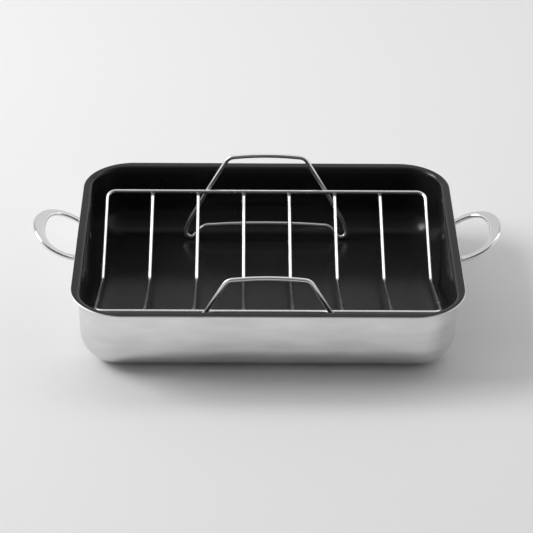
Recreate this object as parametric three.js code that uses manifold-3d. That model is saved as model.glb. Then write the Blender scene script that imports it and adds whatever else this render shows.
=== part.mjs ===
// Roasting pan with a lift-out V rack: a drawn steel pan with a coated inside, two cast loop
// handles riveted to its end walls, and a welded wire rack that stands loose on the pan floor.
// Millimetres, +Z up. The origin is the centre of the pan's underside, and +X runs along the pan.

import * as THREE from "three";
import { mergeVertices } from "three/addons/utils/BufferGeometryUtils.js";
import Module from "manifold-3d";

const wasm = await Module();
wasm.setup();

const degree = Math.PI / 180;

// Pan body
const rimLength = 420;
const rimWidth = 330;
const panHeight = 80;
const wallCorner = 42; // plan radius of the wall's outside, just under the lip
const wallDraft = 1 * degree;
const flangeWidth = 8.5; // the lip, from its outer edge to the wall's outside
const flangeCornerWidth = 5.8; // the lip narrows to this at the corners
const flangeBend = 2.5; // radius under the lip, where the wall turns out
const bottomFillet = 32; // outside radius between the wall and the base
const leastCorner = 1.5; // the smallest plan radius that the base keeps

// Sheet steel and coating
const steelThickness = 1.5;
const coatThickness = 0.5;
const coatBond = 0.1; // gap between the steel and its coating
const coatSetback = 0.3; // the coating stops this far short of the lip's bare, rounded edge

// Handles
const handleSpread = 76; // between the middles of the two pads
const handleReach = 49.5; // from the pad's bend to the middle line of the grip
const handleRise = 24 * degree; // slope of the loop above the horizontal
const armClearance = 0.9; // between the arms and the lip that they pass under
const armRun = 31; // how far the arms run out before they close on the grip
const armWidth = 8.2;
const armThickness = 5;
const armShare = 0.3; // share of each half loop that keeps the arm's slim section
const armSquareness = 3.6; // 2 is an ellipse, larger values are boxier
const gripFullness = 52; // half spread of the curve that rounds the arms outward
const gripHalfFlat = 30; // half length of the flatter stretch of the grip
const gripWidth = 14.5;
const gripThickness = 4.2;
const padWidth = 18;
const padThickness = 3;
const padLength = 22; // from the pad's round lower end up to its bend
const padBend = 5; // middle-line radius where the pad turns into the arm
const padSquareness = 6;
const padGap = 0.3; // between the pad and the wall

// Rivets
const rivetRadius = 2.5;
const rivetHeadLap = 2.5; // how far a head reaches past its shank
const rivetHeadHeight = 1.8;
const rivetClearance = 0.15; // round the shank in its holes
const rivetHeadGap = 0.15; // between a head and the face it draws tight

// Rack
const frameWire = 4.8; // wire diameter of the frame and the leg loops
const crossWire = 4.4;
const crossWireCount = 6;
const railSetback = 36.5; // from the rim's edge to a rail's middle line
const endSetback = 26.25; // from the rim's edge to an end wire's middle line
const railDrop = 18; // from the rim down to the rails' middle lines
const foldRise = 18.3; // from the pan floor up to the line where the two slopes would meet
const foldBend = 14; // middle-line radius of each V bend
const frameCorner = 10; // middle-line radius of the frame's corners
const weldGap = 0.2; // between two wires at a weld

// Leg loops
const carryRise = 27; // from the rim up to the middle of the carrying bar
const carryHalf = 37; // from the middle of the loop to the middle of a carrying bar's bend
const carryBend = 11;
const carryArch = 330; // radius of the carrying bar, which is slightly arched
const legBow = 60; // radius where a leg bows in to its foot
const legBowEnd = 14 * degree; // slope of the leg off the upright where the bow meets the foot
const footHalf = 87.6; // from the middle of the loop to the bottom of a foot
const footBend = 6.2; // middle-line radius of a U-bent foot
const footSetback = 0.5; // from the edge of the flat floor to the feet
const footClearance = 0.3; // between the feet and the floor
const tieRise = 19.2; // from the pan floor up to the middle of the tie bar
const tieSetback = 20; // from a foot's bottom to the middle of a tie bar's bend
const tieBend = 11;
const tieArch = 900; // radius of the tie bar, arched like the carrying bar

// Facets
const cornerSteps = 8; // round each plan corner of the pan
const filletSteps = 6;
const flangeBendSteps = 3;
const edgeSteps = 4;
const wireSides = 10;
const bendStep = 15 * degree; // largest turn between two rings of a bent wire
const leastBendSteps = 4;
const foldSteps = 4;
const handleSides = 16;
const handleSteps = 18; // along each half of the loop
const padSteps = 4; // round a pad's lower end, and round its bend
const rivetSides = 16;
const headSteps = 4;

// Levels and places that follow from the sizes above
const stackThickness = steelThickness + coatBond + coatThickness;
const floorHeight = stackThickness;
const lipUnderside = panHeight - stackThickness;
const flangeBendLevel = lipUnderside - flangeBend;
const filletInset = wallInset(bottomFillet) + bottomFillet / Math.cos(wallDraft);
const cornerGain = Math.SQRT2 - 1; // from a square corner to its round, per unit of radius
const rimCorner = wallCorner + (flangeWidth * Math.SQRT2 - flangeCornerWidth) / cornerGain;
const railHeight = panHeight - railDrop;
const railHalf = rimWidth / 2 - railSetback;
const endHalf = rimLength / 2 - endSetback;
const wirePitch = (2 * endHalf) / (crossWireCount + 1);
const loopHalf = railHalf + frameWire + weldGap;
const footHeight = floorHeight + footClearance + frameWire / 2;
const footStand = rimWidth / 2 - filletInset - footSetback;
const legTuck = (loopHalf - footStand) / (railHeight - footHeight); // inward slope below the rail

const steel = () => new THREE.MeshStandardMaterial({ color: 0xb9bcbe, roughness: 0.34, metalness: 1 });
const polished = () => new THREE.MeshStandardMaterial({ color: 0xd5d7d9, roughness: 0.12, metalness: 1 });
const wireSteel = () => new THREE.MeshStandardMaterial({ color: 0xcfd2d4, roughness: 0.18, metalness: 1 });
const coating = () => new THREE.MeshStandardMaterial({ color: 0x1c1c1d, roughness: 0.36, metalness: 0 });

// A closed skin over rings of points. Open runs of rings get a flat cap at each end.
function skin(rings, isLoop = false) {
  const sides = rings[0].length;
  const points = rings.flat();
  const faces = [];
  const spans = isLoop ? rings.length : rings.length - 1;
  for (let i = 0; i < spans; i += 1) {
    const here = i * sides;
    const there = ((i + 1) % rings.length) * sides;
    for (let k = 0; k < sides; k += 1) {
      const next = (k + 1) % sides;
      faces.push([here + k, here + next, there + next]);
      faces.push([here + k, there + next, there + k]);
    }
  }
  if (!isLoop) {
    const last = points.length - sides;
    const startMiddle = points.push(middleOf(rings[0])) - 1;
    const endMiddle = points.push(middleOf(rings[rings.length - 1])) - 1;
    for (let k = 0; k < sides; k += 1) {
      const next = (k + 1) % sides;
      faces.push([startMiddle, next, k]);
      faces.push([endMiddle, last + k, last + next]);
    }
  }
  const isInsideOut = signedVolume(points, faces) < 0;
  const geometry = new THREE.BufferGeometry().setFromPoints(points);
  geometry.setIndex(faces.flatMap(([a, b, c]) => (isInsideOut ? [a, c, b] : [a, b, c])));
  geometry.computeVertexNormals();
  return geometry;
}

function middleOf(ring) {
  const sum = new THREE.Vector3();
  ring.forEach((point) => sum.add(point));
  return sum.divideScalar(ring.length);
}

function signedVolume(points, faces) {
  const cross = new THREE.Vector3();
  let volume = 0;
  for (const [a, b, c] of faces) {
    cross.crossVectors(points[b], points[c]);
    volume += points[a].dot(cross) / 6;
  }
  return volume;
}

// Cutting one closed geometry by others
function toSolid(geometry) {
  const bare = new THREE.BufferGeometry();
  bare.setAttribute("position", geometry.getAttribute("position"));
  bare.setIndex(geometry.index);
  const merged = mergeVertices(bare);
  return new wasm.Manifold(
    new wasm.Mesh({
      numProp: 3,
      vertProperties: merged.attributes.position.array,
      triVerts: new Uint32Array(merged.index.array),
    }),
  );
}

function cutBy(geometry, cutters) {
  let solid = toSolid(geometry);
  cutters.forEach((cutter) => {
    solid = solid.subtract(toSolid(cutter));
  });
  const mesh = solid.getMesh();
  const result = new THREE.BufferGeometry();
  result.setAttribute("position", new THREE.BufferAttribute(mesh.vertProperties, 3));
  result.setIndex(new THREE.BufferAttribute(mesh.triVerts, 1));
  result.computeVertexNormals();
  return result;
}

function named(name, geometry, material) {
  const mesh = new THREE.Mesh(geometry, material);
  mesh.name = name;
  return mesh;
}

// Pan body: a rounded rectangle drawn in by its inset from the rim, at one height
function panRing({ inset, z, corner }) {
  const middleX = rimLength / 2 - inset - corner;
  const middleY = rimWidth / 2 - inset - corner;
  const ring = [];
  for (let quarter = 0; quarter < 4; quarter += 1) {
    const signX = quarter === 0 || quarter === 3 ? 1 : -1;
    const signY = quarter < 2 ? 1 : -1;
    for (let k = 0; k <= cornerSteps; k += 1) {
      const angle = (quarter + k / cornerSteps) * 90 * degree;
      const x = signX * middleX + corner * Math.cos(angle);
      const y = signY * middleY + corner * Math.sin(angle);
      ring.push(new THREE.Vector3(x, y, z));
    }
  }
  return ring;
}

function wallInset(z) {
  return flangeWidth + (flangeBendLevel - z) * Math.tan(wallDraft);
}

function bodyStation(inset, z) {
  const corner = Math.max(leastCorner, wallCorner + flangeWidth - inset);
  return { inset, z, corner };
}

function lipStation(inset, z) {
  return { inset, z, corner: rimCorner - inset };
}

// The pan's section from the base to the lip, offset inwards from the outer face by depth
function bodyStations(depth) {
  const filletRadius = bottomFillet - depth;
  const bendInset = flangeWidth - flangeBend / Math.cos(wallDraft);
  const bendRadius = flangeBend + depth;
  const stations = [];
  for (let k = 0; k <= filletSteps; k += 1) {
    const turn = ((90 * degree - wallDraft) * k) / filletSteps;
    const inset = filletInset - filletRadius * Math.sin(turn);
    stations.push(bodyStation(inset, bottomFillet - filletRadius * Math.cos(turn)));
  }
  for (let k = 0; k <= flangeBendSteps; k += 1) {
    const turn = wallDraft + ((90 * degree - wallDraft) * k) / flangeBendSteps;
    const inset = bendInset + bendRadius * Math.cos(turn);
    stations.push(bodyStation(inset, flangeBendLevel + bendRadius * Math.sin(turn)));
  }
  return stations;
}

function shellGeometry() {
  const edgeRadius = steelThickness / 2;
  const edge = Array.from({ length: edgeSteps + 1 }, (_, k) => {
    const turn = (180 * degree * k) / edgeSteps - 90 * degree;
    const inset = edgeRadius * (1 - Math.cos(turn));
    return lipStation(inset, lipUnderside + edgeRadius * (1 + Math.sin(turn)));
  });
  const inside = bodyStations(steelThickness).reverse();
  return skin([...bodyStations(0), ...edge, ...inside].map(panRing));
}

// The coating lines the inside and lies over the lip
function liningGeometry() {
  const backDepth = steelThickness + coatBond;
  const edge = [
    lipStation(coatSetback, lipUnderside + backDepth),
    lipStation(coatSetback, panHeight),
  ];
  const front = bodyStations(stackThickness).reverse();
  return skin([...bodyStations(backDepth), ...edge, ...front].map(panRing));
}

// Handle: a loft along one half, from pad to grip, and back along the mirrored half.
// In the handle's frame X leaves the wall, Y runs along it and Z runs up it.
const padY = handleSpread / 2;
const armSlope = handleRise + wallDraft;
const padTurn = 90 * degree - armSlope;
const padX = padGap + padThickness / 2;
const bendEndX = padX + padBend * (1 - Math.cos(padTurn));
const armHalfHeight = armThickness / 2 / Math.cos(armSlope);
const armAtLip = lipUnderside - armClearance - armHalfHeight - flangeBendLevel;
const bendEndZ = armAtLip - (flangeWidth - bendEndX) * Math.tan(armSlope);
const bendZ = bendEndZ - padBend * Math.sin(padTurn);
const padLowZ = bendZ - padLength;
const rivetZ = padLowZ + padWidth / 2;

function padStations() {
  const wide = new THREE.Vector3(0, 1, 0);
  const thick = new THREE.Vector3(1, 0, 0);
  return Array.from({ length: padSteps }, (_, k) => {
    const turn = (90 * degree * (k + 1)) / padSteps;
    const z = padLowZ + (padWidth / 2) * (1 - Math.cos(turn));
    const at = new THREE.Vector3(padX, padY, z);
    const width = padWidth * Math.sin(turn);
    return { at, wide, thick, width, thickness: padThickness, squareness: padSquareness };
  });
}

function padBendStations() {
  const wide = new THREE.Vector3(0, 1, 0);
  return Array.from({ length: padSteps + 1 }, (_, k) => {
    const turn = (padTurn * k) / padSteps;
    const x = padX + padBend * (1 - Math.cos(turn));
    const at = new THREE.Vector3(x, padY, bendZ + padBend * Math.sin(turn));
    const thick = new THREE.Vector3(Math.cos(turn), 0, -Math.sin(turn));
    const ease = THREE.MathUtils.smoothstep(k / padSteps, 0, 1);
    const width = THREE.MathUtils.lerp(padWidth, armWidth, ease);
    const thickness = THREE.MathUtils.lerp(padThickness, armThickness, ease);
    const squareness = THREE.MathUtils.lerp(padSquareness, armSquareness, ease);
    return { at, wide, thick, width, thickness, squareness };
  });
}

function loopStations() {
  const half = new THREE.CubicBezierCurve(
    new THREE.Vector2(0, padY),
    new THREE.Vector2(armRun, gripFullness),
    new THREE.Vector2(handleReach, gripHalfFlat),
    new THREE.Vector2(handleReach, 0),
  );
  const thick = new THREE.Vector3(Math.sin(armSlope), 0, -Math.cos(armSlope));
  return Array.from({ length: handleSteps }, (_, k) => {
    const share = (k + 1) / handleSteps;
    const spot = half.getPoint(share);
    const along = half.getTangent(share);
    const x = bendEndX + spot.x * Math.cos(armSlope);
    const at = new THREE.Vector3(x, spot.y, bendEndZ + spot.x * Math.sin(armSlope));
    const wide = new THREE.Vector3(-along.y * Math.cos(armSlope), along.x, -along.y * Math.sin(armSlope));
    const ease = THREE.MathUtils.smoothstep(share, armShare, 1);
    const width = THREE.MathUtils.lerp(armWidth, gripWidth, ease);
    const thickness = THREE.MathUtils.lerp(armThickness, gripThickness, ease);
    return { at, wide, thick, width, thickness, squareness: armSquareness };
  });
}

function mirrorStation(station) {
  const flip = new THREE.Vector3(1, -1, 1);
  return {
    ...station,
    at: station.at.clone().multiply(flip),
    wide: station.wide.clone().multiply(flip),
  };
}

// A rounded section, from elliptic to boxy by its squareness
function handleRing({ at, wide, thick, width, thickness, squareness }) {
  const ring = [];
  const bulge = (value) => Math.sign(value) * Math.abs(value) ** (2 / squareness);
  for (let k = 0; k < handleSides; k += 1) {
    const angle = (360 * degree * (k + 0.5)) / handleSides;
    const across = (bulge(Math.cos(angle)) * width) / 2;
    const deep = (bulge(Math.sin(angle)) * thickness) / 2;
    ring.push(at.clone().addScaledVector(wide, across).addScaledVector(thick, deep));
  }
  return ring;
}

function handleGeometry() {
  const half = [...padStations(), ...padBendStations(), ...loopStations()];
  const otherHalf = half.slice(0, -1).reverse().map(mirrorStation);
  const holes = [padY, -padY].map((y) => rivetHole().translate(0, y, rivetZ));
  return cutBy(skin([...half, ...otherHalf].map(handleRing)), holes);
}

// A rivet along X: domed head inside the pan, shank through the wall, domed head on the pad
function rivetGeometry() {
  const wallFace = -stackThickness - rivetHeadGap;
  const padFace = padGap + padThickness + rivetHeadGap;
  const dome = Array.from({ length: headSteps + 1 }, (_, k) => {
    const turn = (90 * degree * k) / headSteps;
    const radius = (rivetRadius + rivetHeadLap) * Math.sin(turn);
    return new THREE.Vector2(radius, rivetHeadHeight * Math.cos(turn));
  });
  const profile = [
    ...dome.map(({ x, y }) => new THREE.Vector2(x, wallFace - y)),
    new THREE.Vector2(rivetRadius, wallFace),
    new THREE.Vector2(rivetRadius, padFace),
    ...dome.reverse().map(({ x, y }) => new THREE.Vector2(x, padFace + y)),
  ];
  return new THREE.LatheGeometry(profile, rivetSides).rotateZ(-90 * degree);
}

function rivetHole() {
  const radius = rivetRadius + rivetClearance;
  const length = 2 * (stackThickness + padGap + padThickness + rivetHeadHeight);
  return new THREE.CylinderGeometry(radius, radius, length, rivetSides).rotateZ(-90 * degree);
}

// A handle with its rivets on the right end wall, or turned round to the left one
function handleGroup(side, turn) {
  const wall = new THREE.Group();
  wall.position.set(rimLength / 2 - flangeWidth, 0, flangeBendLevel);
  wall.rotation.y = wallDraft;
  wall.add(named(`${side}_handle`, handleGeometry(), polished()));
  for (const y of [padY, -padY]) {
    const end = y * Math.cos(turn) > 0 ? "rear" : "front";
    const rivet = named(`${side}_${end}_rivet`, rivetGeometry(), polished());
    rivet.position.set(0, y, rivetZ);
    wall.add(rivet);
  }
  const group = new THREE.Group();
  group.add(wall);
  group.rotation.z = turn;
  return group;
}

// A hole through the wall and its coating for each rivet
function wallHoles(groups) {
  const holes = [];
  for (const group of groups) {
    group.updateMatrixWorld(true);
    group.traverse((item) => {
      if (item.name.endsWith("_rivet")) {
        holes.push(rivetHole().applyMatrix4(item.matrixWorld));
      }
    });
  }
  return holes;
}

// Bent wire: straight runs tangent to round bends, as a closed path in a plane.
// A bend turns left where turn is 1 and right where it is -1.
function bentLoop(bends) {
  const headings = bends.map((bend, i) => {
    const next = bends[(i + 1) % bends.length];
    const gap = Math.hypot(next.x - bend.x, next.y - bend.y);
    const spread = next.radius * next.turn - bend.radius * bend.turn;
    const lead = Math.asin(THREE.MathUtils.clamp(spread / gap, -1, 1));
    return Math.atan2(next.y - bend.y, next.x - bend.x) - lead;
  });
  return bends.flatMap(({ x, y, radius, turn }, i) => {
    const into = headings[(i + bends.length - 1) % bends.length];
    const sweep = turn * THREE.MathUtils.euclideanModulo(turn * (headings[i] - into), 360 * degree);
    const steps = Math.max(leastBendSteps, Math.ceil(Math.abs(sweep) / bendStep));
    return Array.from({ length: steps + 1 }, (_, k) => {
      const heading = into + (sweep * k) / steps;
      const out = radius * turn;
      return { x: x + out * Math.sin(heading), y: y - out * Math.cos(heading), heading };
    });
  });
}

function wireRing(at, along, normal, diameter) {
  const side = new THREE.Vector3().crossVectors(along, normal);
  return Array.from({ length: wireSides }, (_, k) => {
    const angle = (360 * degree * k) / wireSides;
    const offset = normal.clone().multiplyScalar((Math.cos(angle) * diameter) / 2);
    offset.addScaledVector(side, (Math.sin(angle) * diameter) / 2);
    return offset.add(at);
  });
}

// The rack's sheet: flat, then folded to a V along its middle. s runs across the fold.
const foldHeight = floorHeight + foldRise;
const foldAngle = Math.atan2(railHeight - foldHeight, railHalf);
const foldHalf = foldBend * foldAngle;
const foldFloor = foldHeight + foldBend * (1 / Math.cos(foldAngle) - 1);
const railReach = foldHalf + railHalf / Math.cos(foldAngle) - foldBend * Math.tan(foldAngle);

function foldedRing({ x, y: s, heading }, diameter) {
  const bent = THREE.MathUtils.clamp(s, -foldHalf, foldHalf);
  const slope = bent / foldBend;
  const straight = s - bent;
  const y = foldBend * Math.sin(slope) + straight * Math.cos(slope);
  const z = foldFloor + foldBend * (1 - Math.cos(slope)) + straight * Math.sin(slope);
  const across = Math.sin(heading);
  const along = new THREE.Vector3(Math.cos(heading), across * Math.cos(slope), across * Math.sin(slope));
  const normal = new THREE.Vector3(0, -Math.sin(slope), Math.cos(slope));
  return wireRing(new THREE.Vector3(x, y, z), along, normal, diameter);
}

// Stations where a wire goes round the fold, to the rear (1) or to the front (-1)
function foldStations(x, direction) {
  return Array.from({ length: foldSteps + 1 }, (_, k) => {
    const share = (2 * k) / foldSteps - 1;
    return { x, y: direction * foldHalf * share, heading: direction * 90 * degree };
  });
}

function frameGeometry() {
  const bendX = endHalf - frameCorner;
  const bendS = railReach - frameCorner;
  const corners = [[1, -1], [1, 1], [-1, 1], [-1, -1]];
  const loop = bentLoop(
    corners.map(([signX, signS]) => ({ x: signX * bendX, y: signS * bendS, radius: frameCorner, turn: 1 })),
  );
  const cornerLength = loop.length / corners.length;
  const path = [
    ...loop.slice(0, cornerLength),
    ...foldStations(endHalf, 1),
    ...loop.slice(cornerLength, 3 * cornerLength),
    ...foldStations(-endHalf, -1),
    ...loop.slice(3 * cornerLength),
  ];
  return skin(path.map((spot) => foldedRing(spot, frameWire)), true);
}

function crossWireGeometry() {
  const reach = railReach - frameWire / 2 - weldGap;
  const heading = 90 * degree;
  const path = [{ x: 0, y: -reach, heading }, ...foldStations(0, 1), { x: 0, y: reach, heading }];
  return skin(path.map((spot) => foldedRing(spot, crossWire)));
}

// A leg loop, measured from the rail: X along the rail, Z up. Above the rail it is upright, and
// below it the legs tuck in to stand on the flat floor. Each arched bar runs smoothly into its bends.
function archedBar({ top, arch, half, radius, turn }) {
  const archY = top - arch;
  const bendY = archY + Math.sqrt((arch - radius) ** 2 - half ** 2);
  return [
    { x: 0, y: archY, radius: arch, turn },
    { x: half, y: bendY, radius, turn },
  ];
}

function legLoopPath() {
  const [bar, carry] = archedBar({
    top: panHeight + carryRise - railHeight,
    arch: carryArch,
    half: carryHalf,
    radius: carryBend,
    turn: -1,
  });
  const [tieBar, tie] = archedBar({
    top: floorHeight + tieRise - railHeight,
    arch: tieArch,
    half: footHalf - tieSetback,
    radius: tieBend,
    turn: 1,
  });
  const foot = { x: footHalf, y: footHeight + footBend - railHeight, radius: footBend, turn: -1 };
  const bow = {
    x: foot.x - (legBow - footBend) * Math.cos(legBowEnd),
    y: foot.y - (legBow - footBend) * Math.sin(legBowEnd),
    radius: legBow,
    turn: -1,
  };
  const mirrored = (bend) => ({ ...bend, x: -bend.x });
  const otherSide = [tie, foot, bow, carry].map(mirrored);
  return splitAtRail(bentLoop([bar, carry, bow, foot, tie, tieBar, ...otherSide]));
}

// The path with a station added wherever it crosses the level of the rail
function splitAtRail(path) {
  return path.flatMap((spot, i) => {
    const next = path[(i + 1) % path.length];
    if (spot.y * next.y >= 0) {
      return [spot];
    }
    const share = spot.y / (spot.y - next.y);
    return [spot, { x: THREE.MathUtils.lerp(spot.x, next.x, share), y: 0, heading: spot.heading }];
  });
}

function legLoopGeometry() {
  const rings = legLoopPath().map(({ x, y, heading }) => {
    const tuck = y < 0 ? legTuck : 0;
    const climb = Math.sin(heading);
    const along = new THREE.Vector3(Math.cos(heading), tuck * climb, climb).normalize();
    const normal = new THREE.Vector3(0, 1, 0).addScaledVector(along, -along.y).normalize();
    return wireRing(new THREE.Vector3(x, tuck * y, y), along, normal, frameWire);
  });
  return skin(rings, true);
}

function rackGroup() {
  const rack = new THREE.Group();
  rack.add(named("rack_frame", frameGeometry(), wireSteel()));
  for (let i = 1; i <= crossWireCount; i += 1) {
    const wire = named(`cross_wire_${i}`, crossWireGeometry(), wireSteel());
    wire.position.x = i * wirePitch - endHalf;
    rack.add(wire);
  }
  for (const [end, turn] of [["rear", 0], ["front", 180 * degree]]) {
    const loop = named(`${end}_leg_loop`, legLoopGeometry(), wireSteel());
    loop.position.set(0, Math.cos(turn) * loopHalf, railHeight);
    loop.rotation.z = turn;
    rack.add(loop);
  }
  return rack;
}

// Assembly
const handles = [handleGroup("right", 0), handleGroup("left", 180 * degree)];
const holes = wallHoles(handles);
const roastingPan = new THREE.Group();
roastingPan.add(named("pan_shell", cutBy(shellGeometry(), holes), steel()));
roastingPan.add(named("nonstick_lining", cutBy(liningGeometry(), holes), coating()));
roastingPan.add(...handles, rackGroup());

export default roastingPan;
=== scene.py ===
# A rectangular roasting pan with loop handles and a lift-out V rack, dressed over its solids.
# Metres, in the frame of the solids: +X along the pan, +Y to the rear, +Z up from the underside.

import math

import bpy
from mathutils import Matrix, Quaternion, Vector


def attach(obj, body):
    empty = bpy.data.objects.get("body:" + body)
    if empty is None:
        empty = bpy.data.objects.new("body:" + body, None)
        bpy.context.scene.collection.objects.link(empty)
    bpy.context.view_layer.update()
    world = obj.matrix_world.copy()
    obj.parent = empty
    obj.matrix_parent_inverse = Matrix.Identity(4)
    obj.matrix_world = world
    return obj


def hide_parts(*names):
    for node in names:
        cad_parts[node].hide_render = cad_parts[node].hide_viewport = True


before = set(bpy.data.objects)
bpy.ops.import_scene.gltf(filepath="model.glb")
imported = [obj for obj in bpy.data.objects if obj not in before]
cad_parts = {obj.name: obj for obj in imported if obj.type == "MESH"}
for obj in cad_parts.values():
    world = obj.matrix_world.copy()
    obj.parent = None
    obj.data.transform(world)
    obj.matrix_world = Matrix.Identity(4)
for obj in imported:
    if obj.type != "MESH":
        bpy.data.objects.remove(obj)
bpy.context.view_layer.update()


# The studio: a pale worktop under a broad overhead light. The main light stands far to the left
# and a little to the rear, so that a soft shadow falls to the right.
camera_place = Vector((-0.0266, -2.0859, 1.3240))
camera_aim = Vector((-0.0009, -0.0174, 0.0503))
camera_roll = Quaternion((0, 0, 1), math.radians(0.6))

bpy.ops.object.camera_add(location=camera_place)
camera = bpy.context.object
camera.data.lens = 148.59
camera.data.sensor_width = 36
camera.rotation_mode = "QUATERNION"
camera.rotation_quaternion = (camera_aim - camera_place).to_track_quat("-Z", "Y") @ camera_roll
bpy.context.scene.camera = camera
bpy.context.scene.view_settings.view_transform = "Standard"

bpy.ops.mesh.primitive_plane_add(size=14)
worktop = bpy.context.object
worktop.name = "worktop"
worktop_finish = bpy.data.materials.new("worktop_finish")
worktop_finish.use_nodes = True
worktop_shader = worktop_finish.node_tree.nodes["Principled BSDF"]
worktop_shader.inputs["Base Color"].default_value = (0.76, 0.76, 0.76, 1)
worktop_shader.inputs["Roughness"].default_value = 0.7
worktop_shader.inputs["Specular IOR Level"].default_value = 0.2
worktop.data.materials.append(worktop_finish)


def add_softbox(name, place, aim, length, width, radiance):
    """A soft light with its long side level, turned to face a point."""
    bpy.ops.object.light_add(type="AREA", location=place)
    lamp = bpy.context.object
    lamp.name = name
    lamp.data.shape = "RECTANGLE"
    lamp.data.size = length
    lamp.data.size_y = width
    lamp.data.energy = radiance * math.pi * length * width
    lamp.rotation_mode = "QUATERNION"
    lamp.rotation_quaternion = (Vector(aim) - Vector(place)).to_track_quat("-Z", "Y")


add_softbox("overhead_light", (0, 0.80, 1.40), (0, 0, 0.05), 3.4, 0.48, radiance=1.6)
add_softbox("main_light", (-3.1, 0.71, 2.3), (0, 0, 0.05), 2.0, 1.5, radiance=11.5)


class Tone:
    """A shader socket that takes part in sums as a number does."""

    def __init__(self, tree, socket=None):
        self.tree = tree
        self.socket = socket

    def add(self, kind, settings, inputs, output=0):
        """A new node with its settings, then the values or links of its inputs."""
        node = self.tree.nodes.new(kind)
        for name, value in settings.items():
            setattr(node, name, value)
        for name, value in inputs.items():
            self.feed(node.inputs[name], value)
        return Tone(self.tree, node.outputs[output])

    def feed(self, socket, value):
        if isinstance(value, Tone):
            self.tree.links.new(value.socket, socket)
        else:
            socket.default_value = value

    def join(self, operation, first, second):
        return self.add("ShaderNodeMath", {"operation": operation}, {0: first, 1: second})

    def __add__(self, other):
        return self.join("ADD", self, other)

    def __radd__(self, other):
        return self.join("ADD", other, self)

    def __sub__(self, other):
        return self.join("SUBTRACT", self, other)

    def __rsub__(self, other):
        return self.join("SUBTRACT", other, self)

    def __mul__(self, other):
        return self.join("MULTIPLY", self, other)

    def __rmul__(self, other):
        return self.join("MULTIPLY", other, self)

    def __abs__(self):
        return self.join("ABSOLUTE", self, 0)

    def between(self, low, high):
        """Rises smoothly from 0 at low to 1 at high."""
        ends = {"Value": self, "From Min": low, "From Max": high}
        return self.add("ShaderNodeMapRange", {"interpolation_type": "SMOOTHSTEP"}, ends)

    def tint(self, first, second):
        """A colour that goes from the first to the second as this value goes from 0 to 1."""
        return self.add("ShaderNodeMix", {"data_type": "RGBA"}, {0: self, 6: first, 7: second}, 2)

    def noise(self, scale, detail=2):
        """Cloudy noise over this place, stretched by a scale for each axis."""
        spread = self.add("ShaderNodeMapping", {}, {"Vector": self, "Scale": scale})
        return self.add("ShaderNodeTexNoise", {}, {"Vector": spread, "Scale": 1, "Detail": detail})

    def axis(self, name):
        return self.add("ShaderNodeSeparateXYZ", {}, {"Vector": self}, name)

    def bump(self, distance):
        """A surface normal raised by this height."""
        return self.add("ShaderNodeBump", {}, {"Height": self, "Strength": 1, "Distance": distance})


def grey(level, warmth=0.0):
    """A near-neutral colour."""
    return (level * (1 + warmth), level, level * (1 - warmth), 1)


studio = bpy.data.worlds.new("studio")
bpy.context.scene.world = studio
studio.use_nodes = True
outlook = Tone(studio.node_tree).add("ShaderNodeTexCoord", {}, {}, "Generated")
low = outlook.axis("Z").between(0.75, 0.15)
rear = outlook.axis("Y").between(-0.8, 0.1)
sideways = outlook.axis("X")
haze = 0.10 + rear * (0.31 + 0.45 * low * (1 + 0.3 * sideways) + 0.5 * sideways * sideways)
haze.feed(studio.node_tree.nodes["Background"].inputs["Color"], haze.tint(grey(0), grey(1)))


# The pan body is drawn in one piece from sheet steel, brushed to a satin outside. It has a wide
# curve round the base and a lip turned out flat, which is trimmed to a dull, rounded edge.
rim_length = 0.420
rim_width = 0.330
pan_height = 0.080
wall_corner = 0.042
wall_draft = math.radians(1)
lip_width = 0.0085
lip_corner_width = 0.0058
lip_bend = 0.0025
base_curve = 0.032
steel_thickness = 0.0015
coat_thickness = 0.0005
coat_bond = 0.0001
stack_thickness = steel_thickness + coat_bond + coat_thickness
corner_steps = 24
bend_steps = 8
curve_steps = 16
support = 0.0005
quarter_turn = math.radians(90)

rim_corner = wall_corner + (lip_width * math.sqrt(2) - lip_corner_width) / (math.sqrt(2) - 1)
bend_level = pan_height - stack_thickness - lip_bend
bend_inset = lip_width - lip_bend / math.cos(wall_draft)
curve_inset = lip_width + (bend_level - base_curve) * math.tan(wall_draft)
curve_inset += base_curve / math.cos(wall_draft)


def sheet_section(depth):
    """Insets from the rim and levels, from the flat lip down to the flat floor of a sheet."""
    bend_radius = lip_bend + depth
    curve_radius = base_curve - depth
    stations = [(bend_inset - support, bend_level + bend_radius)]
    for k in range(bend_steps + 1):
        turn = quarter_turn + (wall_draft - quarter_turn) * k / bend_steps
        inset = bend_inset + bend_radius * math.cos(turn)
        stations.append((inset, bend_level + bend_radius * math.sin(turn)))
    for k in range(curve_steps + 1):
        turn = (quarter_turn - wall_draft) * (1 - k / curve_steps)
        inset = curve_inset - curve_radius * math.sin(turn)
        stations.append((inset, base_curve - curve_radius * math.cos(turn)))
    stations.append((curve_inset + support, base_curve - curve_radius))
    return stations


def add_rounded_face(inset, corner, level):
    """A flat face of the mesh in hand: the rim's outline drawn in, with round corners."""
    bpy.ops.mesh.primitive_plane_add(size=1, location=(0, 0, level))
    sides = (rim_length - 2 * inset, rim_width - 2 * inset, 1)
    bpy.ops.transform.resize(value=sides, center_override=(0, 0, level))
    bpy.ops.mesh.bevel(affect="VERTICES", offset=corner, segments=corner_steps, profile=0.5)


def pick(piece, is_wanted):
    """Selects the points of a piece in edit mode by their place."""
    bpy.ops.mesh.select_mode(type="VERT")
    bpy.ops.mesh.select_all(action="DESELECT")
    bpy.ops.object.mode_set(mode="OBJECT")
    for point in piece.data.vertices:
        point.select = is_wanted(point.co)
    bpy.ops.object.mode_set(mode="EDIT")


def apply_modifier(piece, kind, **settings):
    """Puts a modifier on a piece and applies it."""
    modifier = piece.modifiers.new(kind, kind)
    for key, value in settings.items():
        setattr(modifier, key, value)
    bpy.context.view_layer.objects.active = piece
    bpy.ops.object.modifier_apply(modifier=modifier.name)


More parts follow.
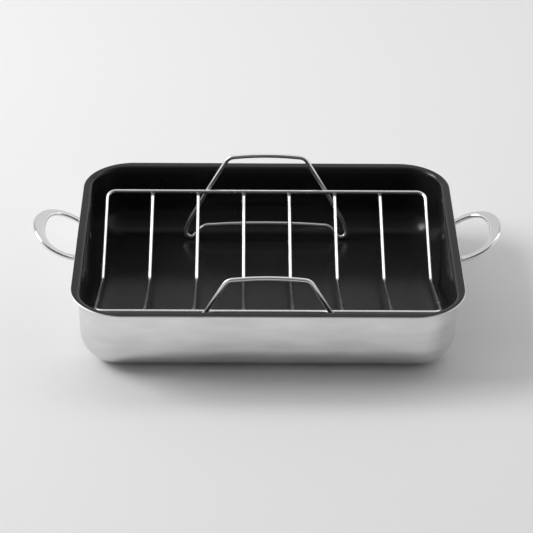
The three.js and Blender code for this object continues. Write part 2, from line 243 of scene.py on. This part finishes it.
def smooth_over(piece):
    """Smooth shading in which broad flat faces stay flat up to their rounded edges."""
    bpy.ops.object.select_all(action="DESELECT")
    piece.select_set(True)
    bpy.context.view_layer.objects.active = piece
    bpy.ops.object.shade_smooth()
    apply_modifier(piece, "WEIGHTED_NORMAL", weight=50)


def press_sheet(name, depth, edge_inset, thickness, edge_round, is_inside):
    """A sheet in the pan's form, its face a depth inside the pan's outer face."""
    bpy.ops.object.select_all(action="DESELECT")
    bpy.ops.mesh.primitive_plane_add(size=1)
    sheet = bpy.context.object
    sheet.name = name
    stations = sheet_section(depth)
    lip_inset, lip_level = stations[0]
    bpy.ops.object.mode_set(mode="EDIT")
    bpy.ops.mesh.delete(type="VERT")
    add_rounded_face(edge_inset, rim_corner - edge_inset, lip_level + lip_width)
    bpy.ops.mesh.delete(type="ONLY_FACE")
    add_rounded_face(lip_inset, wall_corner + lip_width - lip_inset, lip_level)
    for (inset, level), (next_inset, next_level) in zip(stations, stations[1:]):
        bpy.ops.mesh.inset(thickness=next_inset - inset, depth=next_level - level)
    bpy.ops.mesh.select_mode(type="EDGE")
    bpy.ops.mesh.select_all(action="DESELECT")
    bpy.ops.mesh.select_non_manifold(use_wire=True, use_boundary=True, use_verts=False)
    bpy.ops.mesh.bridge_edge_loops()
    pick(sheet, lambda point: point.z > lip_level + lip_width / 2)
    bpy.ops.transform.translate(value=(0, 0, -lip_width))
    bpy.ops.mesh.select_all(action="SELECT")
    bpy.ops.mesh.remove_doubles(threshold=0.00001)
    bpy.ops.mesh.normals_make_consistent(inside=False)
    bpy.ops.object.mode_set(mode="OBJECT")
    floor_face = min(sheet.data.polygons, key=lambda face: face.center.z)
    if (floor_face.normal.z > 0) != is_inside:
        bpy.ops.object.mode_set(mode="EDIT")
        bpy.ops.mesh.flip_normals()
        bpy.ops.object.mode_set(mode="OBJECT")
    apply_modifier(sheet, "SOLIDIFY", thickness=thickness, offset=-1, use_even_offset=True)
    apply_modifier(
        sheet, "BEVEL", width=edge_round, segments=4, limit_method="ANGLE", angle_limit=math.radians(60)
    )
    smooth_over(sheet)
    return sheet


def start_finish(name):
    """A new material, the place on the object that it varies by, and its shader's inputs."""
    finish = bpy.data.materials.new(name)
    finish.use_nodes = True
    place = Tone(finish.node_tree).add("ShaderNodeTexCoord", {}, {}, "Object")
    return finish, place, finish.node_tree.nodes["Principled BSDF"].inputs


satin_finish, place, shader = start_finish("satin_brushed_steel")
upright = abs(place.add("ShaderNodeNewGeometry", {}, {}, "Normal").axis("Z")).between(0.95, 0.8)
wall_streaks = 0.5 * place.noise((1.5, 1.5, 1500)) + 0.5 * place.noise((2.5, 2.5, 420))
base_streaks = 0.5 * place.noise((1.5, 1500, 1.5)) + 0.5 * place.noise((2.5, 420, 2.5))
streaks = upright * wall_streaks + (1 - upright) * base_streaks
smudges = place.noise((14, 14, 22)).between(0.3, 0.75)
smears = place.noise((24, 24, 110)).between(0.3, 0.75)
shader["Metallic"].default_value = 1
sheen = 0.2 * streaks + 0.4 * smudges + 0.4 * smears
sheen.feed(shader["Base Color"], sheen.tint(grey(0.67), grey(0.86)))
cut_edge = place.axis("Z").between(bend_level, bend_level + lip_bend)
blur = 0.13 + 0.08 * streaks + 0.04 * smudges + 0.04 * smears
sheen.feed(shader["Roughness"], blur + 0.22 * cut_edge)
sheen.feed(shader["Normal"], streaks.bump(0.000003))

shell = press_sheet(
    "drawn_shell", depth=0, edge_inset=0, thickness=steel_thickness, edge_round=0.0007, is_inside=False
)
shell.data.materials.append(satin_finish)
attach(shell, "pan")
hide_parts("pan_shell")


# The dark nonstick coating lines the inside and lies over the lip, where it stops just short of
# the bare edge. It is sprayed on and baked, so it keeps a fine pebbled gloss with pale specks.
coat_setback = 0.0007

coat_finish, place, shader = start_finish("nonstick_coating")
pebbles = place.noise((1500, 1500, 1500))
clouds = place.noise((18, 18, 18), 3)
specks = place.noise((2600, 2600, 2600), 1).between(0.70, 0.76)
wear = place.noise((90, 90, 90), 4).between(0.5, 0.75)
shader["IOR"].default_value = 1.38
clouds.feed(shader["Base Color"], (specks * 0.8 + 0.2 * clouds).tint(grey(0.010), grey(0.034)))
clouds.feed(shader["Roughness"], 0.20 + 0.05 * clouds + 0.05 * wear + 0.12 * specks)
clouds.feed(shader["Normal"], pebbles.bump(0.000012))

coating = press_sheet(
    "sprayed_coating",
    depth=stack_thickness,
    edge_inset=coat_setback,
    thickness=coat_thickness,
    edge_round=0.0002,
    is_inside=True,
)
coating.data.materials.append(coat_finish)
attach(coating, "pan")
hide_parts("nonstick_lining")


# Each handle is a cast steel loop, polished bright. Two boxy arms leave flat pads on the end
# wall, pass close under the lip, rise outward and close in a broad flat grip.
pad_spread = 0.038
handle_reach = 0.0492
handle_rise = math.radians(24)
arm_clearance = 0.0009
arm_run = 0.031
arm_width = 0.0082
arm_thickness = 0.005
arm_share = 0.3
arm_edge = 0.0020
grip_fullness = 0.052
grip_half_flat = 0.030
grip_width = 0.0145
grip_thickness = 0.0042
pad_width = 0.018
pad_thickness = 0.003
pad_length = 0.022
pad_bend = 0.005
pad_gap = 0.0003
half_steps = 40
pad_steps = 8
end_slack = 0.0003
end_zone = 0.020

arm_slope = handle_rise + wall_draft
pad_turn = quarter_turn - arm_slope
pad_middle = pad_gap + pad_thickness / 2
root_x = pad_middle + pad_bend * (1 - math.cos(pad_turn))
arm_drop = arm_clearance + arm_thickness / 2 / math.cos(arm_slope)
root_z = lip_bend - arm_drop - (lip_width - root_x) * math.tan(arm_slope)
rivet_z = root_z - pad_bend * math.sin(pad_turn) - pad_length + pad_width / 2

loop_ends = [
    Vector((0, pad_spread, 0)),
    Vector((arm_run, grip_fullness, 0)),
    Vector((handle_reach, grip_half_flat, 0)),
    Vector((handle_reach, 0, 0)),
]
mirror = Vector((1, -1, 1))
end_wall = Matrix.Translation((rim_length / 2 - lip_width, 0, bend_level))
end_wall = end_wall @ Matrix.Rotation(wall_draft, 4, "Y")
loop_place = end_wall @ Matrix.Translation((root_x, 0, root_z)) @ Matrix.Rotation(-arm_slope, 4, "Y")


def ease(share, low, high):
    """Smooth rise from 0 to 1 between two shares."""
    part = min(max((share - low) / (high - low), 0), 1)
    return part * part * (3 - 2 * part)


def loop_spot(share):
    """A point of the half loop, from the root of an arm to the middle of the grip."""
    rest = 1 - share
    weights = (rest**3, 3 * rest * rest * share, 3 * rest * share * share, share**3)
    return sum((point * weight for point, weight in zip(loop_ends, weights)), Vector())


def close_up(piece):
    """Merges doubles and turns the faces of a closed piece outward, back in object mode."""
    bpy.ops.mesh.select_all(action="SELECT")
    bpy.ops.mesh.remove_doubles(threshold=0.000005)
    bpy.ops.mesh.normals_make_consistent(inside=False)
    bpy.ops.object.mode_set(mode="OBJECT")


def set_down(piece, name, where):
    """Names a finished piece and puts its place in its mesh."""
    piece.name = name
    piece.matrix_world = where
    bpy.ops.object.select_all(action="DESELECT")
    piece.select_set(True)
    bpy.context.view_layer.objects.active = piece
    bpy.ops.object.transform_apply(location=True, rotation=True, scale=True)


def copy_of(piece):
    """A copy with its own mesh."""
    bpy.ops.object.select_all(action="DESELECT")
    piece.select_set(True)
    bpy.context.view_layer.objects.active = piece
    bpy.ops.object.duplicate()
    return bpy.context.object


def bar_stations():
    """Distances along the loop with the width and thickness of the bar there."""
    stations = [(0, arm_width, arm_thickness)]
    length = 0
    for k in range(1, half_steps + 1):
        share = k / half_steps
        length += (loop_spot(share) - loop_spot(share - 1 / half_steps)).length
        swell = ease(share, arm_share, 1)
        width = arm_width + (grip_width - arm_width) * swell
        stations.append((length, width, arm_thickness + (grip_thickness - arm_thickness) * swell))
    back = [(2 * length - along, width, thickness) for along, width, thickness in stations[-2::-1]]
    return stations + back


def bend_to_loop(bar):
    """Bends a straight bar round the loop with a flat guide curve."""
    bpy.ops.curve.primitive_bezier_curve_add()
    guide = bpy.context.object
    guide.data.resolution_u = 64
    guide.data.twist_mode = "Z_UP"
    points = guide.data.splines[0].bezier_points
    points.add(1)
    first, second, third, fourth = loop_ends
    rows = (
        (first * 2 - second, first, second),
        (third, fourth, third * mirror),
        (second * mirror, first * mirror, (first * 2 - second) * mirror),
    )
    for point, (before, at, after) in zip(points, rows):
        point.handle_left_type = "FREE"
        point.handle_right_type = "FREE"
        point.co = at
        point.handle_left = before
        point.handle_right = after
    apply_modifier(bar, "CURVE", object=guide, deform_axis="POS_X")
    bpy.data.objects.remove(guide)


def turn_down_to_pad(bar, side):
    """Carries one end of the bent bar round its bend and down to a flat pad with a round end."""
    root = loop_ends[0] * Vector((1, side, 1))
    lead = (loop_ends[1] - loop_ends[0]).normalized() * Vector((1, side, 1))
    pick(bar, lambda point: abs((point - root).dot(lead)) < end_slack and (point - root).length < end_zone)
    bpy.ops.transform.resize(value=(0, 1 / lead.x, 1), center_override=root)
    width = arm_width
    thickness = arm_thickness
    for k in range(1, pad_steps + 1):
        bpy.ops.mesh.spin(
            steps=1, angle=pad_turn / pad_steps, center=root - Vector((0, 0, pad_bend)), axis=(0, 1, 0)
        )
        turn = pad_turn * k / pad_steps
        middle = root + pad_bend * Vector((-math.sin(turn), 0, math.cos(turn) - 1))
        share = ease(k / pad_steps, 0, 1)
        new_width = arm_width + (pad_width - arm_width) * share
        new_thickness = arm_thickness + (pad_thickness - arm_thickness) * share
        thinner = new_thickness / thickness
        bpy.ops.transform.resize(value=(thinner, new_width / width, thinner), center_override=middle)
        width, thickness = new_width, new_thickness
    down = Vector((-math.cos(pad_turn), 0, -math.sin(pad_turn)))
    end = middle + down * pad_length
    for k in range(pad_steps):
        turn = quarter_turn * k / pad_steps
        spot = end - down * (pad_width / 2) * (1 - math.sin(turn))
        bpy.ops.mesh.extrude_region_move(TRANSFORM_OT_translate={"value": spot - middle})
        new_width = pad_width * math.cos(turn)
        bpy.ops.transform.resize(value=(1, new_width / width, 1), center_override=spot)
        width, middle = new_width, spot


bpy.ops.object.select_all(action="DESELECT")
bpy.ops.mesh.primitive_plane_add(size=1, rotation=(0, quarter_turn, 0))
handle = bpy.context.object
bpy.ops.object.transform_apply(rotation=True)
bpy.ops.object.mode_set(mode="EDIT")
bpy.ops.transform.resize(value=(1, arm_width, arm_thickness))
bpy.ops.mesh.bevel(affect="VERTICES", offset=arm_edge, segments=5, profile=0.4)
stations = bar_stations()
for (along, _, thickness), (next_along, _, next_thickness) in zip(stations, stations[1:]):
    bpy.ops.mesh.extrude_region_move(TRANSFORM_OT_translate={"value": (next_along - along, 0, 0)})
    thinner = (1, 1, next_thickness / thickness)
    bpy.ops.transform.resize(value=thinner, center_override=(next_along, 0, 0))
for along, width, _ in stations:
    for side in (1, -1):
        pick(handle, lambda point: abs(point.x - along) < 0.00001 and point.y * side > 0)
        bpy.ops.transform.translate(value=(0, side * (width - arm_width) / 2, 0))
bpy.ops.object.mode_set(mode="OBJECT")
bend_to_loop(handle)
bpy.ops.object.mode_set(mode="EDIT")
turn_down_to_pad(handle, 1)
turn_down_to_pad(handle, -1)
close_up(handle)
smooth_over(handle)
set_down(handle, "right_loop_handle", loop_place)

polished_finish, place, shader = start_finish("polished_cast_steel")
buffing = place.noise((700, 60, 700), 3)
clouds = place.noise((25, 25, 25), 3)
handling = place.noise((70, 70, 70), 4).between(0.5, 0.75)
shader["Metallic"].default_value = 1
clouds.feed(shader["Base Color"], (0.5 * buffing + 0.5 * clouds).tint(grey(0.76), grey(0.84)))
clouds.feed(shader["Roughness"], 0.05 + 0.05 * buffing + 0.04 * clouds + 0.05 * handling)
clouds.feed(shader["Normal"], (buffing + 2 * clouds).bump(0.00001))
handle.data.materials.append(polished_finish)

other_handle = copy_of(handle)
set_down(other_handle, "left_loop_handle", Matrix.Rotation(math.pi, 4, "Z"))
for piece, node in ((handle, "right_handle"), (other_handle, "left_handle")):
    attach(piece, "pan")
    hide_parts(node)


# A steel rivet draws each pad tight to the wall. Its shank goes through the pad, the sheet and
# the coating, and is set to a low domed head on both sides. The inner head is coated as well.
shank_radius = 0.0025
head_radius = 0.005
head_height = 0.0018
head_gap = 0.00015
head_steps = 8
head_crown = 0.35
inner_face = -stack_thickness - head_gap
outer_face = pad_gap + pad_thickness + head_gap

dome = []
for k in range(head_steps + 1):
    turn = quarter_turn * (k + head_crown) / (head_steps + head_crown)
    dome.append((head_height * math.cos(turn), head_radius * math.sin(turn)))
profile = [(inner_face - height, radius) for height, radius in dome]
profile += [(inner_face, shank_radius), (outer_face, shank_radius)]
profile += [(outer_face + height, radius) for height, radius in reversed(dome)]

start, start_radius = profile[0]
bpy.ops.object.select_all(action="DESELECT")
bpy.ops.mesh.primitive_circle_add(
    vertices=32,
    radius=start_radius,
    fill_type="NGON",
    location=(start, 0, 0),
    rotation=(0, quarter_turn, 0),
)
rivet = bpy.context.object
bpy.ops.object.transform_apply(location=True, rotation=True)
bpy.ops.object.mode_set(mode="EDIT")
for (x, radius), (next_x, next_radius) in zip(profile, profile[1:]):
    bpy.ops.mesh.extrude_region_move(TRANSFORM_OT_translate={"value": (next_x - x, 0, 0)})
    growth = next_radius / radius
    bpy.ops.transform.resize(value=(1, growth, growth), center_override=(next_x, 0, 0))
close_up(rivet)
bpy.ops.object.shade_smooth_by_angle(angle=math.radians(40))
rivet.data.materials.append(polished_finish)
rivet.data.materials.append(coat_finish)
for face in rivet.data.polygons:
    face.material_index = 1 if face.center.x < -coat_thickness else 0

for side, turn in (("right", 0), ("left", math.pi)):
    for y in (pad_spread, -pad_spread):
        end = "rear" if y * math.cos(turn) > 0 else "front"
        piece = copy_of(rivet)
        where = Matrix.Rotation(turn, 4, "Z") @ end_wall @ Matrix.Translation((0, y, rivet_z))
        set_down(piece, f"{side}_{end}_domed_rivet", where)
        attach(piece, "pan")
        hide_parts(f"{side}_{end}_rivet")
bpy.data.objects.remove(rivet)


# The rack's frame is one bright drawn wire, bent to a rectangle and folded to a shallow V along
# the middle. Its long sides are the rails that carry everything else on the rack.
frame_wire = 0.0048
cross_wire = 0.0044
rail_setback = 0.0365
end_setback = 0.02625
rail_drop = 0.018
fold_rise = 0.0183
fold_bend = 0.014
frame_corner = 0.010
fold_steps = 10
bend_step = math.radians(6)
least_bend_steps = 8
wire_facets = 5
heat_and_shade_fade = 0.003

rail_height = pan_height - rail_drop
rail_half = rim_width / 2 - rail_setback
end_half = rim_length / 2 - end_setback
fold_height = stack_thickness + fold_rise
fold_angle = math.atan2(rail_height - fold_height, rail_half)
fold_half = fold_bend * fold_angle
fold_floor = fold_height + fold_bend * (1 / math.cos(fold_angle) - 1)
rail_reach = fold_half + rail_half / math.cos(fold_angle) - fold_bend * math.tan(fold_angle)


def bent_loop(bends):
    """A closed flat path of straight runs between round bends, left (1) or right (-1)."""
    headings = []
    following = bends[1:] + bends[:1]
    for (x, y, radius, turn), (next_x, next_y, next_radius, next_turn) in zip(bends, following):
        gap = math.hypot(next_x - x, next_y - y)
        spread = next_radius * next_turn - radius * turn
        lead = math.asin(min(max(spread / gap, -1), 1))
        headings.append(math.atan2(next_y - y, next_x - x) - lead)
    path = []
    for i, (x, y, radius, turn) in enumerate(bends):
        into = headings[i - 1]
        sweep = turn * ((turn * (headings[i] - into)) % math.tau)
        steps = max(least_bend_steps, math.ceil(abs(sweep) / bend_step))
        for k in range(steps + 1):
            heading = into + sweep * k / steps
            path.append((x + radius * turn * math.sin(heading), y - radius * turn * math.cos(heading)))
    return path


def folded(x, s):
    """The place on the V of a point of the flat frame, s across the fold."""
    bent = min(max(s, -fold_half), fold_half)
    slope = bent / fold_bend
    straight = s - bent
    y = fold_bend * math.sin(slope) + straight * math.cos(slope)
    z = fold_floor + fold_bend * (1 - math.cos(slope)) + straight * math.sin(slope)
    return Vector((x, y, z))


def round_the_fold(x, direction):
    """Flat points where a wire goes round the fold, to the rear (1) or to the front (-1)."""
    return [(x, direction * fold_half * (2 * k / fold_steps - 1)) for k in range(fold_steps + 1)]


def bend_wire(name, path, diameter, is_loop):
    """A round wire drawn along a path, closed to a loop or cut square at both ends."""
    bpy.ops.object.select_all(action="DESELECT")
    bpy.ops.mesh.primitive_plane_add(size=diameter)
    wire = bpy.context.object
    wire.name = name
    bpy.ops.object.mode_set(mode="EDIT")
    bpy.ops.mesh.merge(type="CENTER")
    bpy.ops.transform.translate(value=path[0])
    for here, there in zip(path, path[1:]):
        bpy.ops.mesh.extrude_region_move(TRANSFORM_OT_translate={"value": there - here})
    if is_loop:
        ends = (path[0], path[-1])
        pick(wire, lambda point: any((point - end).length < 0.00001 for end in ends))
        bpy.ops.mesh.edge_face_add()
    bpy.ops.object.mode_set(mode="OBJECT")
    bpy.ops.object.convert(target="CURVE")
    wire = bpy.context.object
    wire.data.bevel_depth = diameter / 2
    wire.data.bevel_resolution = wire_facets
    wire.data.use_fill_caps = not is_loop
    bpy.ops.object.convert(target="MESH")
    wire = bpy.context.object
    bpy.ops.object.mode_set(mode="EDIT")
    close_up(wire)
    bpy.ops.object.shade_smooth_by_angle(angle=math.radians(50))
    return wire


def join_rack(piece, node, finish):
    """Makes a finished wire the look of a node of the rack."""
    piece.data.materials.append(finish)
    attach(piece, "rack")
    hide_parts(node)


def wire_look(name, dullness, heat_and_shade_from=rim_width):
    """Bright drawn wire with fine pits, darkened beyond a distance from the middle by weld heat tint and
    painted shade under the rails.
    """
    finish, place, shader = start_finish(name)
    pits = place.noise((1100, 1100, 1100), 3)
    clouds = place.noise((40, 40, 40), 3)
    stains = place.noise((160, 160, 160), 4).between(0.55, 0.75)
    # Near the rails the colour is darkened: partly weld heat tint, partly painted shade where the wire
    # tucks under the rail.
    heat_and_shade = abs(place.axis("Y") + 0.006 * (pits - 0.5)).between(heat_and_shade_from, heat_and_shade_from + heat_and_shade_fade)
    scorch_and_shade = pits.between(0.45, 0.65).tint(grey(0.03, 0.04), grey(0.3, 0.02))
    shader["Metallic"].default_value = 1
    bright = (0.5 * pits + 0.5 * clouds).tint(grey(0.74), grey(0.86))
    pits.feed(shader["Base Color"], heat_and_shade.tint(bright, scorch_and_shade))
    blur = dullness + 0.06 * pits + 0.04 * clouds + 0.04 * stains
    pits.feed(shader["Roughness"], blur + 0.16 * heat_and_shade)
    pits.feed(shader["Normal"], (pits + 2 * clouds).bump(0.000008))
    return finish


wire_finish = wire_look("bright_drawn_wire", dullness=0.19)

bend_x = end_half - frame_corner
bend_s = rail_reach - frame_corner
corners = ((bend_x, -bend_s), (bend_x, bend_s), (-bend_x, bend_s), (-bend_x, -bend_s))
outline = bent_loop([(x, s, frame_corner, 1) for x, s in corners])
corner_length = len(outline) // 4
outline = (
    outline[:corner_length]
    + round_the_fold(end_half, 1)
    + outline[corner_length : 3 * corner_length]
    + round_the_fold(-end_half, -1)
    + outline[3 * corner_length :]
)
rails = bend_wire("folded_rack_frame", [folded(x, s) for x, s in outline], frame_wire, True)
join_rack(rails, "rack_frame", wire_finish)


# Six thinner wires of the same steel cross the V from rail to rail, evenly spaced. Each is bent
# once at the fold and butts on the inner side of the rails, where it is welded.
cross_wire_count = 6
weld_gap = 0.0002
heat_and_shade_reach = 0.008
cross_reach = rail_reach - frame_wire / 2 - weld_gap
wire_pitch = 2 * end_half / (cross_wire_count + 1)

# The last stretch of each cross wire before the rails is darkened: weld heat tint plus painted shade under
# the rails.
heat_and_shade_start = rail_half - frame_wire / 2 - heat_and_shade_reach
welded_finish = wire_look("welded_wire", dullness=0.16, heat_and_shade_from=heat_and_shade_start)
flat_path = [(0, -cross_reach)] + round_the_fold(0, 1) + [(0, cross_reach)]
first_wire = bend_wire("first_cross_wire", [folded(x, s) for x, s in flat_path], cross_wire, False)
for i in range(1, cross_wire_count + 1):
    piece = copy_of(first_wire)
    set_down(piece, f"welded_cross_wire_{i}", Matrix.Translation((i * wire_pitch - end_half, 0, 0)))
    join_rack(piece, f"cross_wire_{i}", welded_finish)
bpy.data.objects.remove(first_wire)


# A loop of the thicker wire is welded outside each rail. Its arched top is the bar that lifts the
# rack, its two U bends are the feet on the pan floor, and an arched tie bar joins them. Above the
# rail the loop is upright, and below it the legs tuck in to stand on the flat of the floor.
carry_rise = 0.0269
carry_half = 0.037
carry_bend = 0.011
carry_arch = 0.330
leg_bow = 0.060
leg_bow_end = math.radians(14)
foot_half = 0.0876
foot_bend = 0.0062
foot_setback = 0.0005
foot_clearance = 0.0003
tie_rise = 0.0192
tie_setback = 0.020
tie_bend = 0.011
tie_arch = 0.900

loop_half = rail_half + frame_wire + weld_gap
foot_height = stack_thickness + foot_clearance + frame_wire / 2
foot_stand = rim_width / 2 - curve_inset - foot_setback
leg_tuck = (loop_half - foot_stand) / (rail_height - foot_height)


def arched_bar(top, arch, half, radius, turn):
    """The arch of a bar and the bend at its end, where the one runs smoothly into the other."""
    arch_y = top - arch
    bend_y = arch_y + math.sqrt((arch - radius) ** 2 - half**2)
    return (0, arch_y, arch, turn), (half, bend_y, radius, turn)


def split_at_rail(path):
    """The path with a point added wherever it crosses the level of the rail."""
    split = []
    for (x, y), (next_x, next_y) in zip(path, path[1:] + path[:1]):
        split.append((x, y))
        if y * next_y < 0:
            split.append((x + (next_x - x) * y / (y - next_y), 0))
    return split


bar, carry = arched_bar(pan_height + carry_rise - rail_height, carry_arch, carry_half, carry_bend, -1)
tie_top = stack_thickness + tie_rise - rail_height
tie_bar, tie = arched_bar(tie_top, tie_arch, foot_half - tie_setback, tie_bend, 1)
foot = (foot_half, foot_height + foot_bend - rail_height, foot_bend, -1)
bow_x = foot[0] - (leg_bow - foot_bend) * math.cos(leg_bow_end)
bow_y = foot[1] - (leg_bow - foot_bend) * math.sin(leg_bow_end)
bow = (bow_x, bow_y, leg_bow, -1)
other_side = [(-x, y, radius, turn) for x, y, radius, turn in (tie, foot, bow, carry)]
outline = split_at_rail(bent_loop([bar, carry, bow, foot, tie, tie_bar] + other_side))
loop_path = [Vector((x, leg_tuck * min(z, 0), z)) for x, z in outline]
legs = bend_wire("upright_leg_loop", loop_path, frame_wire, True)
loop_finish = wire_look("soft_drawn_wire", dullness=0.25)
for end, turn in (("rear", 0), ("front", math.pi)):
    piece = copy_of(legs)
    where = Matrix.Translation((0, math.cos(turn) * loop_half, rail_height))
    set_down(piece, f"{end}_carrying_loop", where @ Matrix.Rotation(turn, 4, "Z"))
    join_rack(piece, f"{end}_leg_loop", loop_finish)
bpy.data.objects.remove(legs)


# Small weld beads hold the rack together: one round each end of a cross wire, and one where each
# side of a leg loop crosses its rail. They are left as welded, dull and a little rough.
bead_round = 0.0028
bead_length = 0.0021
crossing_half = 0.0019

bead_finish, place, shader = start_finish("dull_weld")
grains = place.noise((1400, 1400, 1400), 3)
crust = place.noise((500, 500, 500)).between(0.4, 0.65)
shader["Metallic"].default_value = 1
grains.feed(shader["Base Color"], (0.6 * crust + 0.4 * grains).tint(grey(0.03, 0.05), grey(0.22, 0.02)))
grains.feed(shader["Roughness"], 0.28 + 0.25 * crust)
grains.feed(shader["Normal"], (grains + crust).bump(0.00012))


def add_bead(place, size, slope):
    """A lump of weld at a place, with a size along each axis, tipped about the X axis."""
    bpy.ops.object.select_all(action="DESELECT")
    bpy.ops.mesh.primitive_uv_sphere_add(segments=20, ring_count=12, radius=1)
    bead = bpy.context.object
    bpy.ops.object.shade_smooth()
    tipped = Matrix.Translation(place) @ Matrix.Rotation(slope, 4, "X")
    set_down(bead, "bead", tipped @ Matrix.Diagonal((*size, 1)))
    return bead


beads = []
for i in range(1, cross_wire_count + 1):
    for side in (1, -1):
        spot = folded(i * wire_pitch - end_half, side * (cross_reach - bead_length / 3))
        beads.append(add_bead(spot, (bead_round, bead_length, bead_round), side * fold_angle))
crossings = [x for x, z in outline if z == 0]
for x in crossings:
    for side in (1, -1):
        spot = (x, side * (rail_half + frame_wire / 2), rail_height)
        beads.append(add_bead(spot, (crossing_half, crossing_half, crossing_half), 0))
bpy.ops.object.select_all(action="DESELECT")
for bead in beads:
    bead.select_set(True)
bpy.ops.object.join()
welds = bpy.context.object
welds.name = "weld_beads"
welds.data.materials.append(bead_finish)
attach(welds, "rack")
